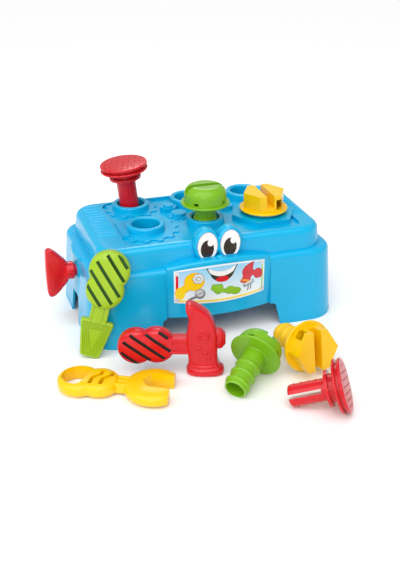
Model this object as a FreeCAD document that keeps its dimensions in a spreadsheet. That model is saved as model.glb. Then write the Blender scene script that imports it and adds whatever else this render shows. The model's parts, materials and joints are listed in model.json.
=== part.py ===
"""Toy workbench for toddlers: a hollow bench with six peg holes, a turning vise knob, six pegs and three tools.

Millimetres, +Z up. The bench stands about the centre of its own footprint (x to the right, y to the back), and
bench_x, bench_y move the whole set, so that it is centred over the origin with the floor at z = 0.
"""
import FreeCAD, Part

import math
import os

import Sketcher

V = FreeCAD.Vector
DOC = FreeCAD.newDocument("toy_workbench")
SIZES = DOC.addObject("Spreadsheet::Sheet", "dims")

# ---------------------------------------------------------------- driving dimensions
CELLS = {
    # where the bench stands in the frame of the whole set
    "bench_x": 29, "bench_y": 123.2,
    # lower skirt
    "skirt_half_x": 175, "skirt_half_y": 109, "skirt_corner": 41, "skirt_draft": 3.9,
    "ledge_z": 102, "ledge_round": 8, "wall": 3, "lip_high": 4,
    # upper box and deck
    "box_half_x": 158.5, "box_half_y": 95, "box_corner": 34, "box_draft": 6, "box_base": 84,
    "deck_z": 131, "deck_round": 9, "floor_z": 127.5,
    "recess_left": 116, "recess_right": 127, "recess_y": 80, "recess_corner": 16,
    # holes for the pegs
    "hole_rad": 18.7, "collar_rad": 25.5, "collar_z": 138, "collar_round": 2.6,
    "sleeve_rad": 21.5, "sleeve_z": 84,
    "hole_left": -77, "hole_mid": 7, "hole_right": 92, "row_front": -23.5, "row_back": 57,
    # bowed panels and arches
    "panel_left": 72, "panel_right": 72, "panel_low": 31, "panel_side": 102.3, "panel_bow": 10.7,
    "panel_top": 104, "panel_rise": 8, "panel_sag": 4, "panel_round": 3.4,
    "arch_left": 79, "arch_right": 82, "arch_z": 33, "arch_round": 7, "arch_flare": 7,
    "side_half": 46, "side_low": 40, "side_face": 163, "side_bow": 11,
    "end_arch_half": 17, "end_arch_z": 42,
    # relief on the deck and the eye plate
    "relief_z": 131.2, "gear_tip": 37.5, "gear_root": 32.5, "big_tip": 45.5, "big_root": 40,
    "plinth_rad": 46, "plinth_z": 134.2, "nut_x": -28, "nut_y": 37, "nut_rad": 12.5, "nut_boss": 7.5,
    "idler_x": -20, "idler_y": 12, "idler_tip": 17, "idler_root": 13.5, "idler_boss": 10,
    "ring_x": 52, "ring_y": 20,
    "eye_x": 15.6, "eye_z": 127.5, "eye_half_x": 17.6, "eye_half_z": 22.6,
    "nose_rad": 6, "nose_x": 1, "nose_y": 103.5, "nose_z": 108.5,
    "eye_plate_face": 101.5, "eye_plate_deep": 17, "grip_half": 58, "grip_rib": 2.4, "grip_count": 12,
    # stickers
    "sticker": 0.4, "label_half": 62.5, "label_low": 55, "label_high": 100, "label_rise": 5,
    "pupil_half_x": 13.8, "pupil_half_z": 19.5, "eye_rim_z": 112.3,
    # vise knob on the left end
    "knob_y": -12, "knob_z": 78, "knob_out": 34, "knob_high": 33.5, "knob_thick": 13,
    "spindle_rad": 8, "spindle_gap": 0.08, "hub_rad": 12, "hub_long": 9, "spindle_in": 9,
    "washer_rad": 13, "washer_thick": 2, "knob_screw_rad": 4.2, "knob_screw_hole": 1.6,
    # pegs with a round flange: the threaded screws and bolts
    "flange_rad": 33.2, "flange_thick": 3.2, "shank_rad": 14.2, "shank_bore": 11.8, "shank_len": 57,
    "ridge_rad": 1.9, "ridge_pitch": 14,
    "dome_rad": 28.5, "dome_high": 23, "dome_round": 12.5, "slot_wide": 8.6, "slot_deep": 10,
    "hex_rad": 29.5, "hex_high": 22.5, "hex_slot": 10.5, "hex_slot_deep": 17, "skin": 2.4,
    # pegs like a split nail
    "nail_seat": 22, "nail_seat_thick": 3.4, "nail_hub": 17, "nail_disc": 32.8, "nail_disc_z": 12,
    "nail_disc_thick": 3, "nail_neck": 28, "nail_cap_z": 18.4, "nail_cap_thick": 4.6,
    "nail_shank": 13.3, "nail_len": 46, "nail_slit": 5.2, "nail_slit_len": 40,
    # where each loose piece lies, about the centre of the bench
    "nail_lift": 37, "nail_lean": 6, "nail_pivot_z": 115, "screw_lift": 18, "bolt_gap": 0.4,
    "loose_screw_x": 3.5, "loose_screw_y": -228, "loose_screw_yaw": 43.4, "loose_screw_tilt": 19.4,
    "loose_bolt_x": 73, "loose_bolt_y": -226, "loose_bolt_yaw": -80, "loose_bolt_tilt": 10,
    "loose_nail_x": 59.6, "loose_nail_y": -317, "loose_nail_yaw": -27, "loose_nail_tilt": 18.6,
    "driver_x": -180, "driver_y": -115.8, "hammer_x": -50, "hammer_y": -197,
    "wrench_x": -206, "wrench_y": -184, "wrench_yaw": -26.9, "view_yaw": 18,
    # tools
    "tool_half": 9.5, "tool_skin": 2.6, "tool_round": 3.4, "groove_wide": 3.4, "groove_deep": 2.1,
    "bulb_big": 26, "bulb_small": 24.4,
    "blade_low": 12.4, "blade_high": 21.8, "blade_len": 50, "shaft_half": 11.6, "driver_low_bulb": 91.5,
    "driver_high_bulb": 118, "blade_half": 4,
    "hammer_neck_z": 41, "hammer_bulb_z": 39, "hammer_bulb_x": 85, "hammer_bulb_gap": 25, "hammer_bulb": 23.2,
    "face_half": 23, "face_thick": 11, "face_deep": 11.5,
    "ring_rad": 27, "ring_hole": 16.5, "wrench_slot": 4.4, "ring_two": 24.5, "ring_two_x": 25, "wrench_neck": 10,
    "jaw_x": 92, "jaw_rad": 36, "jaw_tip": 113.5, "jaw_gap": 13.5,
}


def fill_sheet():
    for row, (alias, number) in enumerate(CELLS.items(), start=1):
        SIZES.set(f"A{row}", alias)
        SIZES.set(f"B{row}", str(number))
        SIZES.setAlias(f"B{row}", alias)
    DOC.recompute()


fill_sheet()
UP = V(0, 0, 1)


# ---------------------------------------------------------------- helpers
def number(formula):
    """What a formula over the sheet comes to."""
    return float(SIZES.evalExpression(str(formula).replace("dims.", "")))


def bind(obj, **properties):
    """Binds properties to formulas over the sheet."""
    for name, formula in properties.items():
        obj.setExpression(name, formula)
    return obj


def at(obj, x="0", y="0", z="0", turn=None):
    """Turns an object by a rotation and binds its place to three formulas."""
    if turn:
        obj.Placement = FreeCAD.Placement(V(0, 0, 0), turn)
    for letter, formula in zip("xyz", (x, y, z)):
        obj.setExpression("Placement.Base." + letter, formula)
    return obj


def primitive(kind, name, **sizes):
    return bind(DOC.addObject("Part::" + kind, name), **sizes)


def cut(name, base, *tools):
    tool = tools[0] if len(tools) == 1 else fuse(name + "_tools", *tools)
    obj = DOC.addObject("Part::Cut", name)
    obj.Base = base
    obj.Tool = tool
    return obj


def fuse(name, *objects):
    obj = DOC.addObject("Part::MultiFuse", name)
    obj.Shapes = list(objects)
    return obj


def common(name, *objects):
    obj = DOC.addObject("Part::MultiCommon", name)
    obj.Shapes = list(objects)
    return obj


def rounded(name, base, radius, choose):
    """Part::Fillet of the edges of base for which choose(edge) is true."""
    DOC.recompute()
    obj = DOC.addObject("Part::Fillet", name)
    obj.Base = base
    size = number(radius)
    obj.Edges = [(i + 1, size, size) for i, edge in enumerate(base.Shape.Edges) if choose(edge)]
    return obj


def at_height(formula, slack=0.05):
    z = number(formula)
    return lambda edge: abs(edge.BoundBox.ZMin - z) < slack and abs(edge.BoundBox.ZMax - z) < slack


def new_sketch(body, name, role="XY_Plane", lift="0"):
    """A sketch on one of its own body's origin planes, lifted along the plane's normal."""
    sketch = body.newObject("Sketcher::SketchObject", name)
    plane = next(f for f in body.Origin.OriginFeatures if f.Role == role)
    sketch.AttachmentSupport = (plane, [""])
    sketch.MapMode = "FlatFace"
    sketch.setExpression("AttachmentOffset.Base.z", lift)
    return sketch


def dimension(sketch, formula, kind, *arguments):
    """A named dimension of the sketch, bound to a formula over the sheet."""
    index = sketch.addConstraint(Sketcher.Constraint(kind, *arguments, number(formula)))
    name = f"size_{index}"
    sketch.renameConstraint(index, name)
    sketch.setExpression("Constraints." + name, formula)


def rounded_rectangle(sketch, left, right, low, high, radius):
    """A fully constrained rectangle with four equal round corners, from formulas."""
    x0, x1, y0, y1, r = (number(f) for f in (left, right, low, high, radius))
    sides = [(V(x0 + r, y0), V(x1 - r, y0)), (V(x1, y0 + r), V(x1, y1 - r)),
             (V(x1 - r, y1), V(x0 + r, y1)), (V(x0, y1 - r), V(x0, y0 + r))]
    centres = [V(x1 - r, y0 + r), V(x1 - r, y1 - r), V(x0 + r, y1 - r), V(x0 + r, y0 + r)]
    lines, arcs = [], []
    for k in range(4):
        lines.append(sketch.addGeometry(Part.LineSegment(*sides[k]), False))
        start = math.radians(90 * k - 90)
        circle = Part.Circle(centres[k], UP, r)
        arcs.append(sketch.addGeometry(Part.ArcOfCircle(circle, start, start + math.pi / 2), False))
    for k in range(4):
        sketch.addConstraint(Sketcher.Constraint("Tangent", lines[k], 2, arcs[k], 1))
        sketch.addConstraint(Sketcher.Constraint("Tangent", arcs[k], 2, lines[(k + 1) % 4], 1))
        sketch.addConstraint(Sketcher.Constraint("Vertical" if k % 2 else "Horizontal", lines[k]))
    for arc in arcs[1:]:
        sketch.addConstraint(Sketcher.Constraint("Equal", arcs[0], arc))
    dimension(sketch, radius, "Radius", arcs[0])
    dimension(sketch, right, "DistanceX", -1, 1, lines[1], 1)
    dimension(sketch, left, "DistanceX", -1, 1, lines[3], 1)
    dimension(sketch, low, "DistanceY", -1, 1, lines[0], 1)
    dimension(sketch, high, "DistanceY", -1, 1, lines[2], 1)


def outline(sketch, start, *steps):
    """A closed outline of formulas: a step is an end point, or the middle and the end of an arc."""
    def point(pair):
        return V(number(pair[0]), number(pair[1]))
    first = here = point(start)
    for step in steps:
        end = point(step[-2:])
        if len(step) == 4:
            sketch.addGeometry(Part.Arc(here, point(step[:2]), end), False)
        else:
            sketch.addGeometry(Part.LineSegment(here, end), False)
        here = end
    if here.distanceToPoint(first) > 1e-6:
        sketch.addGeometry(Part.LineSegment(here, first), False)


def pad(body, sketch, length, taper="0", both=False):
    feature = body.newObject("PartDesign::Pad", sketch.Name + "_pad")
    feature.Profile = sketch
    feature.Midplane = both
    return bind(feature, Length=length, TaperAngle=taper)


def block(name, left, right, low, high, radius, base, length, taper="0", role="XY_Plane", both=False):
    """A body with one rounded rectangle, padded from the height base."""
    body = DOC.addObject("PartDesign::Body", name)
    sketch = new_sketch(body, name + "_outline", role, base)
    rounded_rectangle(sketch, left, right, low, high, radius)
    pad(body, sketch, length, taper, both)
    return body


def prism(name, length, start, *steps, role="XY_Plane", base="0", both=False):
    """A body with one outline of lines and arcs, padded from the height base."""
    body = DOC.addObject("PartDesign::Body", name)
    sketch = new_sketch(body, name + "_outline", role, base)
    outline(sketch, start, *steps)
    pad(body, sketch, length, both=both)
    return body


def turned(name, start, *steps):
    """A body of revolution about Z: the outline gives radius and height."""
    body = DOC.addObject("PartDesign::Body", name)
    sketch = new_sketch(body, name + "_outline", "XZ_Plane")
    outline(sketch, start, *steps)
    feature = body.newObject("PartDesign::Revolution", name + "_turn")
    feature.Profile = sketch
    feature.ReferenceAxis = (sketch, ["V_Axis"])
    feature.Angle = 360
    return body


def cylinder(name, radius, low, high, x="0", y="0"):
    body = primitive("Cylinder", name, Radius=radius, Height=f"{high} - ({low})")
    return at(body, x, y, low)


def gear(name, tip, root, teeth, x, y, low, high):
    """A flat gear wheel: tapered teeth on a root circle."""
    body = DOC.addObject("PartDesign::Body", name)
    sketch = new_sketch(body, name + "_outline", lift=low)
    outer, inner, step = number(tip), number(root), 2 * math.pi / teeth
    corners = []
    for k in range(teeth):
        for part, rad in ((-0.29, inner), (-0.15, outer), (0.15, outer), (0.29, inner)):
            angle = (k + part) * step
            corners.append((rad * math.cos(angle), rad * math.sin(angle)))
    for here, there in zip(corners, corners[1:] + corners[:1]):
        sketch.addGeometry(Part.LineSegment(V(*here), V(*there)), False)
    pad(body, sketch, f"{high} - {low}")
    return at(body, x, y)


def oval_plate(name, half_x, half_z, thick):
    """An upright oval plate with its back at y = 0 and its front towards -Y."""
    oval = primitive("Ellipse", name + "_oval", MajorRadius=half_z, MinorRadius=half_x)
    plate = DOC.addObject("Part::Extrusion", name)
    plate.Base = oval
    plate.DirMode = "Custom"
    plate.Dir = UP
    plate.Solid = True
    bind(plate, LengthFwd=thick)
    return at(plate, turn=FreeCAD.Rotation(V(0, 0, 1), V(-1, 0, 0), V(0, -1, 0), "XYZ"))


# ---------------------------------------------------------------- bench
HOLES = [("dims.hole_left", "dims.row_back"), ("dims.hole_left", "dims.row_front"),
         ("dims.hole_mid", "dims.row_back"), ("dims.hole_mid", "dims.row_front"),
         ("dims.hole_right", "dims.row_back"), ("dims.hole_right", "dims.row_front")]
OVER = "(dims.skirt_half_x * 2)"


def bow_panel(name, inset):
    """The bowed label panel of the front: a bow in plan, cut to a front view with a round top."""
    side = f"dims.panel_side - {inset}"
    bow = f"dims.panel_side + dims.panel_bow - {inset}"
    left, right = f"dims.panel_left - {inset}", f"dims.panel_right - {inset}"
    plan = prism(name + "_plan", "dims.panel_top + dims.panel_rise",
                 (f"-({left})", "-dims.eye_plate_face / 2"), (f"-({left})", f"-({side})"),
                 ("0", f"-({bow})", right, f"-({side})"), (right, "-dims.eye_plate_face / 2"))
    low, top = f"dims.panel_low - {inset} * 20", f"dims.panel_top - {inset}"
    view = prism(name + "_view", OVER, (f"-({left})", low), ("0", f"{low} - dims.panel_sag", right, low),
                 (right, top), ("0", f"{top} + dims.panel_rise", f"-({left})", top),
                 role="XZ_Plane", both=True)
    return common(name, plan, view)


def side_panel(name, inset, way):
    """A smaller bowed panel on an end of the bench; way is -1 at the left end and 1 at the right."""
    half = f"dims.side_half - {inset}"
    face = f"{way} * (dims.side_face - {inset})"
    plan = prism(name, f"dims.ledge_z - {inset} - dims.side_low + {inset} * 20",
                 (f"{way} * dims.side_face / 2", f"-({half})"), (face, f"-({half})"),
                 (f"{face} + {way} * dims.side_bow", "0", face, half), (f"{way} * dims.side_face / 2", half),
                 base=f"dims.side_low - {inset} * 20")
    return plan


def eye_plate(name, inset):
    """The two-lobed plate behind the eyes, standing up out of the front edge of the deck."""
    lobes = []
    for way in (-1, 1):
        lobe = oval_plate(f"{name}_{'left' if way < 0 else 'right'}", f"dims.eye_half_x - {inset}",
                          f"dims.eye_half_z - {inset}", f"dims.eye_plate_deep - 2 * {inset}")
        lobes.append(at(lobe, f"{way} * dims.eye_x", f"-dims.eye_plate_face + dims.eye_plate_deep - {inset}",
                        "dims.eye_z"))
    return lobes


def hull(name, inset):
    """The whole outside of the bench, drawn in by inset on every side."""
    lower = block(name + "_skirt", f"-(dims.skirt_half_x - {inset})", f"dims.skirt_half_x - {inset}",
                  f"-(dims.skirt_half_y - {inset})", f"dims.skirt_half_y - {inset}",
                  f"dims.skirt_corner - {inset}", "0", f"dims.ledge_z - {inset}", "-dims.skirt_draft")
    upper = block(name + "_box", f"-(dims.box_half_x - {inset})", f"dims.box_half_x - {inset}",
                  f"-(dims.box_half_y - {inset})", f"dims.box_half_y - {inset}",
                  f"dims.box_corner - {inset}", "dims.box_base",
                  f"dims.deck_z - dims.box_base - {inset}", "-dims.box_draft")
    return lower, upper


def make_bench():
    lower, upper = hull("outer", "0")
    soft_lower = rounded("skirt_round", lower, "dims.ledge_round", at_height("dims.ledge_z"))
    soft_upper = rounded("box_round", upper, "dims.deck_round", at_height("dims.deck_z"))
    bay = primitive("Box", "panel_bay", Length="dims.panel_left + dims.panel_right + 2", Width="40",
                    Height="dims.deck_z")
    at(bay, "-dims.panel_left - 1", "-dims.panel_side - 40", "-1")
    skirt = cut("bayed_skirt", soft_lower, bay)
    panel = bow_panel("outer_panel", "0")
    front_edges = number("-dims.panel_side + 1")
    top_edges = number("dims.panel_top - 1")
    soft_panel = rounded("panel_round", panel, "dims.panel_round",
                         lambda e: e.BoundBox.YMin < front_edges and e.BoundBox.ZMax > top_edges)
    sides = [side_panel("side_panel_left", "0", -1), side_panel("side_panel_right", "0", 1)]
    soft_sides = [rounded(s.Name + "_round", s, "dims.panel_round", at_height("dims.ledge_z")) for s in sides]
    eyes = fuse("eye_lobes", *eye_plate("eye_plate", "0"))
    eye_front = number("-dims.eye_plate_face")
    soft_eyes = rounded("eye_round", eyes, "dims.panel_round * 1.2",
                        lambda e: e.BoundBox.YMax < eye_front + 0.1 or e.BoundBox.YMin > eye_front + 1)
    nose = at(primitive("Sphere", "nose", Radius="dims.nose_rad"), "dims.nose_x", "-dims.nose_y", "dims.nose_z")
    outside = fuse("outside", skirt, soft_upper, soft_panel, *soft_sides, soft_eyes, nose)
    recess = block("deck_recess", "-dims.recess_left", "dims.recess_right", "-dims.recess_y", "dims.recess_y",
                   "dims.recess_corner", "dims.floor_z", "40")
    keep_eyes = fuse("eye_keep", *eye_plate("eye_keep_plate", "0.5"))
    dished = cut("dished", outside, cut("recess_tool", recess, keep_eyes))

    wall = "dims.wall"
    in_lower, in_upper = hull("inner", wall)
    in_upper = common("inner_box_low", in_upper,
                      at(primitive("Box", "under_deck", Length=OVER, Width=OVER, Height="200"),
                         f"-{OVER} / 2", f"-{OVER} / 2", "dims.floor_z - dims.wall - 200"))
    inner_bay = primitive("Box", "inner_bay", Width="40", Height="dims.deck_z",
                          Length="dims.panel_left + dims.panel_right + 2 * dims.wall")
    at(inner_bay, "-dims.panel_left - dims.wall", "-dims.panel_side - 40 + dims.wall", "-1")
    in_skirt = cut("inner_bayed", in_lower, inner_bay)
    in_panel = bow_panel("inner_panel", wall)
    in_sides = [side_panel("inner_left", wall, -1), side_panel("inner_right", wall, 1)]
    hollow = fuse("inside", in_skirt, in_upper, in_panel, *in_sides)
    shell = cut("shell", dished, hollow)

    lip = cut("floor_lip",
              block("lip_outer", "-dims.skirt_half_x", "dims.skirt_half_x", "-dims.skirt_half_y",
                    "dims.skirt_half_y", "dims.skirt_corner", "0", "dims.lip_high"),
              block("lip_inner", "-dims.skirt_half_x + dims.wall", "dims.skirt_half_x - dims.wall",
                    "-dims.skirt_half_y + dims.wall", "dims.skirt_half_y - dims.wall",
                    "dims.skirt_corner - dims.wall", "-1", "dims.lip_high + 2"))
    solids = [shell, lip]
    drills = []
    for k, (x, y) in enumerate(HOLES):
        collar = turned(f"collar_{k}", ("dims.hole_rad - 2", "dims.floor_z"),
                        ("dims.collar_rad + 1", "dims.floor_z"),
                        ("dims.collar_rad", "dims.collar_z - dims.collar_round"),
                        ("dims.collar_rad - dims.collar_round * 0.29",
                         "dims.collar_z - dims.collar_round * 0.29",
                         "dims.collar_rad - dims.collar_round", "dims.collar_z"),
                        ("dims.hole_rad - 2", "dims.collar_z"))
        sleeve = cylinder(f"sleeve_{k}", "dims.sleeve_rad", "dims.sleeve_z", "dims.floor_z", x, y)
        solids += [at(collar, x, y), sleeve]
        drill = turned(f"drill_{k}", ("0", "dims.sleeve_z - 5"), ("dims.hole_rad", "dims.sleeve_z - 5"),
                       ("dims.hole_rad", "dims.collar_z - dims.collar_round"),
                       ("dims.hole_rad + dims.collar_round * 0.29", "dims.collar_z - dims.collar_round * 0.29",
                        "dims.hole_rad + dims.collar_round", "dims.collar_z"),
                       ("dims.hole_rad + dims.collar_round", "dims.collar_z + 5"), ("0", "dims.collar_z + 5"))
        drills.append(at(drill, x, y))
    solids += reliefs()
    boss_x = "-(dims.side_face + dims.side_bow)"
    spindle_hole = primitive("Cylinder", "spindle_hole", Radius="dims.spindle_rad + dims.spindle_gap", Height="60")
    drills.append(at(spindle_hole, f"{boss_x} - 20", "dims.knob_y", "dims.knob_z",
                     FreeCAD.Rotation(V(0, 1, 0), 90)))
    drills.append(arch("front_arch", "dims.arch_left", "dims.arch_right", "dims.arch_z", "XZ_Plane"))
    drills.append(arch("end_arch", "dims.end_arch_half", "dims.end_arch_half", "dims.end_arch_z", "YZ_Plane"))
    full = fuse("bench_full", *solids)
    bench = cut("bench_shell", full, *drills)
    return at(bench, "dims.bench_x", "dims.bench_y")


def arch(name, left, right, high, role):
    """The space of an arch right through the bench: round top corners, and sides that flare towards the floor."""
    bend, foot = "dims.arch_round", "-2"
    return prism(name, OVER + " * 2", (f"-({left}) - dims.arch_flare", foot), (f"-({left})", f"{high} - {bend}"),
                 (f"-({left}) + {bend} * 0.29", f"{high} - {bend} * 0.29", f"-({left}) + {bend}", high),
                 (f"{right} - {bend}", high),
                 (f"{right} - {bend} * 0.29", f"{high} - {bend} * 0.29", right, f"{high} - {bend}"),
                 (f"{right} + dims.arch_flare", foot), role=role, both=True)


def reliefs():
    """The raised shapes on the deck: gears round two holes, plinth, small nut, ring, bar and grip ribs."""
    low, high = "dims.floor_z - 1", "dims.relief_z"
    parts = [gear("gear_back", "dims.gear_tip", "dims.gear_root", 12,
                  "dims.hole_left", "dims.row_back", low, high),
             gear("gear_front", "dims.big_tip", "dims.big_root", 14,
                  "dims.hole_left", "dims.row_front", low, high),
             gear("gear_small", "dims.idler_tip", "dims.idler_root", 9,
                  "dims.idler_x", "dims.idler_y", low, high)]
    plinth = primitive("Prism", "hex_plinth", Polygon="6", Circumradius="dims.plinth_rad",
                       Height="dims.plinth_z - dims.floor_z + 1")
    parts.append(at(plinth, "dims.hole_right", "dims.row_front", low))
    nut = primitive("Prism", "small_nut", Polygon="6", Circumradius="dims.nut_rad", Height="7")
    parts.append(at(nut, "dims.nut_x", "dims.nut_y", low))
    parts.append(cylinder("nut_boss_peg", "dims.nut_boss", low, f"{high} + 5", "dims.nut_x", "dims.nut_y"))
    parts.append(cylinder("idler_boss_peg", "dims.idler_boss", low, f"{high} + 2", "dims.idler_x", "dims.idler_y"))
    parts.append(cylinder("small_ring", "dims.idler_boss", low, f"{high} + 1.5", "dims.ring_x", "dims.ring_y"))
    bar = block("tool_bar", "-5", "5", "-27", "27", "4.8", low, f"{high} - ({low})")
    parts.append(at(bar, "-dims.recess_left + 8", "-18"))
    for way in (-1, 1):
        side = "left" if way < 0 else "right"
        middle = f"{way} * (dims.recess_left + dims.box_half_x - 11) / 2"
        ribs = []
        for k in range(int(number("dims.grip_count"))):
            y = f"dims.grip_half * ({2 * k + 1} / dims.grip_count - 1) + 18"
            rib = primitive("Cylinder", f"grip_{side}_{k}", Radius="dims.grip_rib", Height="26")
            ribs.append(at(rib, f"{middle} - 13", y, "dims.deck_z - 0.9", FreeCAD.Rotation(V(0, 1, 0), 90)))
        parts += ribs
    return parts


# ---------------------------------------------------------------- stickers
def make_label():
    """The printed label: a thin skin 0.1 outside the bowed panel."""
    gap = "0.05"
    bow = []
    for k, far in enumerate((f"{gap} + dims.sticker", gap)):
        side = f"dims.panel_side + {far}"
        bow.append(prism(f"label_bow_{k}", "200",
                         ("-dims.panel_left", "0"), ("-dims.panel_left", f"-({side})"),
                         ("0", f"-({side} + dims.panel_bow)", "dims.panel_right", f"-({side})"),
                         ("dims.panel_right", "0")))
    view = prism("label_view", OVER, ("-dims.label_half", "dims.label_low"),
                 ("0", "dims.label_low - dims.panel_sag", "dims.label_half", "dims.label_low"),
                 ("dims.label_half", "dims.label_high"),
                 ("0", "dims.label_high + dims.label_rise", "-dims.label_half", "dims.label_high"), role="XZ_Plane")
    label = common("face_label", cut("label_skin", *bow), view)
    return at(label, "dims.bench_x", "dims.bench_y")


def make_eyes():
    eyes = []
    rim = at(primitive("Box", "panel_rim", Length="80", Width="40", Height="40"), "-40", "-20",
             "dims.eye_rim_z - dims.eye_z - 40")
    for way, side in ((-1, "left"), (1, "right")):
        whole = oval_plate(f"eye_whole_{side}", "dims.pupil_half_x", "dims.pupil_half_z", "dims.sticker")
        decal = cut(f"eye_decal_{side}", whole, rim)
        at(decal, f"dims.bench_x + {way} * dims.eye_x", "dims.bench_y - dims.eye_plate_face - 0.05", "dims.eye_z")
        eyes.append(decal)
    return eyes


# ---------------------------------------------------------------- pegs
def shank_wall(name):
    """The hollow threaded shank with its round flange; z = 0 is the underside of the flange."""
    foot = "-dims.shank_len"
    steps = [("dims.shank_bore", foot)]
    steps += [("dims.shank_rad - 0.8", foot), ("dims.shank_rad", f"{foot} + 1.5")]
    for k in range(3):
        z = f"{foot} + {k + 0.55} * dims.ridge_pitch"
        steps += [("dims.shank_rad", f"{z} - dims.ridge_rad * 1.6"),
                  ("dims.shank_rad + dims.ridge_rad", z, "dims.shank_rad", f"{z} + dims.ridge_rad * 1.6")]
    steps += [("dims.shank_rad", "-1.5"), ("dims.shank_rad + 0.44", "-0.44", "dims.shank_rad + 1.5", "0"),
              ("dims.flange_rad - 1", "0"), ("dims.flange_rad", "dims.flange_thick / 2",
                                             "dims.flange_rad - 1", "dims.flange_thick"),
              ("0", "dims.flange_thick"), ("0", "0"), ("dims.shank_bore", "0")]
    return turned(name, *steps)


def dome_cap(name):
    """The hollow round head of a screw, with a driver slot and four small windows at its foot."""
    low, top = "dims.flange_thick", "dims.flange_thick + dims.dome_high"
    def lathe(label, inset, foot):
        rad, high, bend = f"dims.dome_rad - {inset}", f"{top} - {inset}", "dims.dome_round"
        return turned(label, ("0", foot), (rad, foot), (rad, f"{high} - {bend}"),
                      (f"{rad} - {bend} * 0.29", f"{high} - {bend} * 0.29", f"{rad} - {bend}", high),
                      ("0", high))
    skin = cut(name + "_skin", lathe(name + "_out", "0", low), lathe(name + "_in", "dims.skin", f"{low} - 1"))
    trough = at(primitive("Box", name + "_trough", Length="80", Width="dims.slot_wide + 2 * dims.skin",
                          Height="dims.slot_deep + dims.skin"),
                "-40", "-dims.slot_wide / 2 - dims.skin", f"{top} - dims.slot_deep - dims.skin")
    floor = common(name + "_floor", trough, lathe(name + "_fill", "0.2", low))
    slot = at(primitive("Box", name + "_slot", Length="80", Width="dims.slot_wide", Height="dims.slot_deep + 1"),
              "-40", "-dims.slot_wide / 2", f"{top} - dims.slot_deep")
    windows = []
    for k in range(4):
        angle = math.radians(45 + 90 * k)
        reach = number("dims.dome_rad")
        window = at(primitive("Box", f"{name}_window_{k}", Length="7", Width="7", Height="4"),
                    f"{reach * math.cos(angle)} - 3.5", f"{reach * math.sin(angle)} - 3.5", f"{low} + 1.2")
        windows.append(window)
    return cut(name, fuse(name + "_whole", skin, floor), slot, *windows)


def hex_cap(name):
    """The hollow hexagon head of a bolt, with a wide slot across and a cored side."""
    low, high = "dims.flange_thick", "dims.hex_high"
    outer = primitive("Prism", name + "_out", Polygon="6", Circumradius="dims.hex_rad", Height=high)
    inner = primitive("Prism", name + "_in", Polygon="6", Circumradius="dims.hex_rad - dims.skin * 1.15",
                      Height=f"{high} - dims.skin + 1")
    spin = FreeCAD.Rotation(UP, 30)
    skin = cut(name + "_skin", at(outer, "0", "0", low, spin), at(inner, "0", "0", f"{low} - 1", spin))
    fill = primitive("Prism", name + "_fill", Polygon="6", Circumradius="dims.hex_rad - 0.2",
                     Height=f"{high} - 0.2")
    depth = "dims.hex_slot_deep"
    trough = at(primitive("Box", name + "_trough", Length="80", Width="dims.hex_slot + 2 * dims.skin",
                          Height=f"{depth} + dims.skin"),
                "-40", "-dims.hex_slot / 2 - dims.skin", f"{low} + {high} - {depth} - dims.skin")
    floor = common(name + "_floor", trough, at(fill, "0", "0", low, spin))
    slot = at(primitive("Box", name + "_slot", Length="80", Width="dims.hex_slot", Height=f"{depth} + 1"),
              "-40", "-dims.hex_slot / 2", f"{low} + {high} - {depth}")
    core = at(primitive("Box", name + "_core", Length="40", Width="11", Height=f"{high} - 8"),
              "-40", "-dims.hex_slot / 2 - dims.skin - 12", f"{low} + 2")
    return cut(name, fuse(name + "_whole", skin, floor), slot, core)


def nail_body(name):
    """The split shank, seat, hub and lower disc of a nail; z = 0 is the underside of the seat."""
    disc, thick = "dims.nail_disc_z", "dims.nail_disc_thick"
    spool = turned(name + "_spool", ("0", "-dims.nail_len"), ("dims.nail_shank - 4", "-dims.nail_len"),
                   ("dims.nail_shank - 1.2", "-dims.nail_len + 1.2", "dims.nail_shank", "-dims.nail_len + 4"),
                   ("dims.nail_shank", "0"), ("dims.nail_seat", "0"), ("dims.nail_seat", "dims.nail_seat_thick"),
                   ("dims.nail_hub", "dims.nail_seat_thick"), ("dims.nail_hub", disc), ("dims.nail_disc - 1", disc),
                   ("dims.nail_disc", f"{disc} + {thick} / 2", "dims.nail_disc - 1", f"{disc} + {thick}"),
                   ("dims.nail_neck", f"{disc} + {thick}"), ("dims.nail_neck", "dims.nail_cap_z"),
                   ("0", "dims.nail_cap_z"))
    slit = primitive("Box", name + "_slit", Length="60", Width="dims.nail_slit", Height="dims.nail_slit_len + 1")
    at(slit, "-30", "-dims.nail_slit / 2", "-dims.nail_len - 1")
    split = cut(name + "_split", spool, slit)
    bumps = []
    for way in (-1, 1):
        for k in range(4):
            bump = primitive("Sphere", f"{name}_bump_{way + 1}_{k}", Radius="1.6")
            bumps.append(at(bump, "0", f"{way} * (dims.nail_shank - 0.9)", f"-dims.nail_len + 8 + {k} * 9"))
    return fuse(name, split, *bumps)


def nail_cap(name):
    """The striking cap of a nail: a disc with a low dome and a raised grid."""
    low, thick = "dims.nail_cap_z", "dims.nail_cap_thick"
    disc = turned(name + "_disc", ("0", low), ("dims.nail_disc - 1", low),
                  ("dims.nail_disc", f"{low} + {thick} * 0.4", "dims.nail_disc - 1.4", f"{low} + {thick} * 0.8"),
                  ("dims.nail_disc / 2", f"{low} + {thick} * 0.98", "0", f"{low} + {thick}"))
    grid = []
    for k in range(-3, 4):
        reach = f"2 * sqrt((dims.nail_disc - 3) ^ 2 - ({k} * 8) ^ 2)"
        for along, turn in (("x", 0), ("y", 90)):
            groove = primitive("Box", f"{name}_groove_{along}_{k + 3}", Length=reach, Width="1.2", Height="3")
            shift, across = f"-({reach}) / 2", f"{k} * 8 - 0.6"
            spot = (shift, across) if along == "x" else (f"-({across})", shift)
            grid.append(at(groove, *spot, f"{low} + {thick} - 1.3", FreeCAD.Rotation(UP, turn)))
    return cut(name, disc, *grid)


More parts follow.
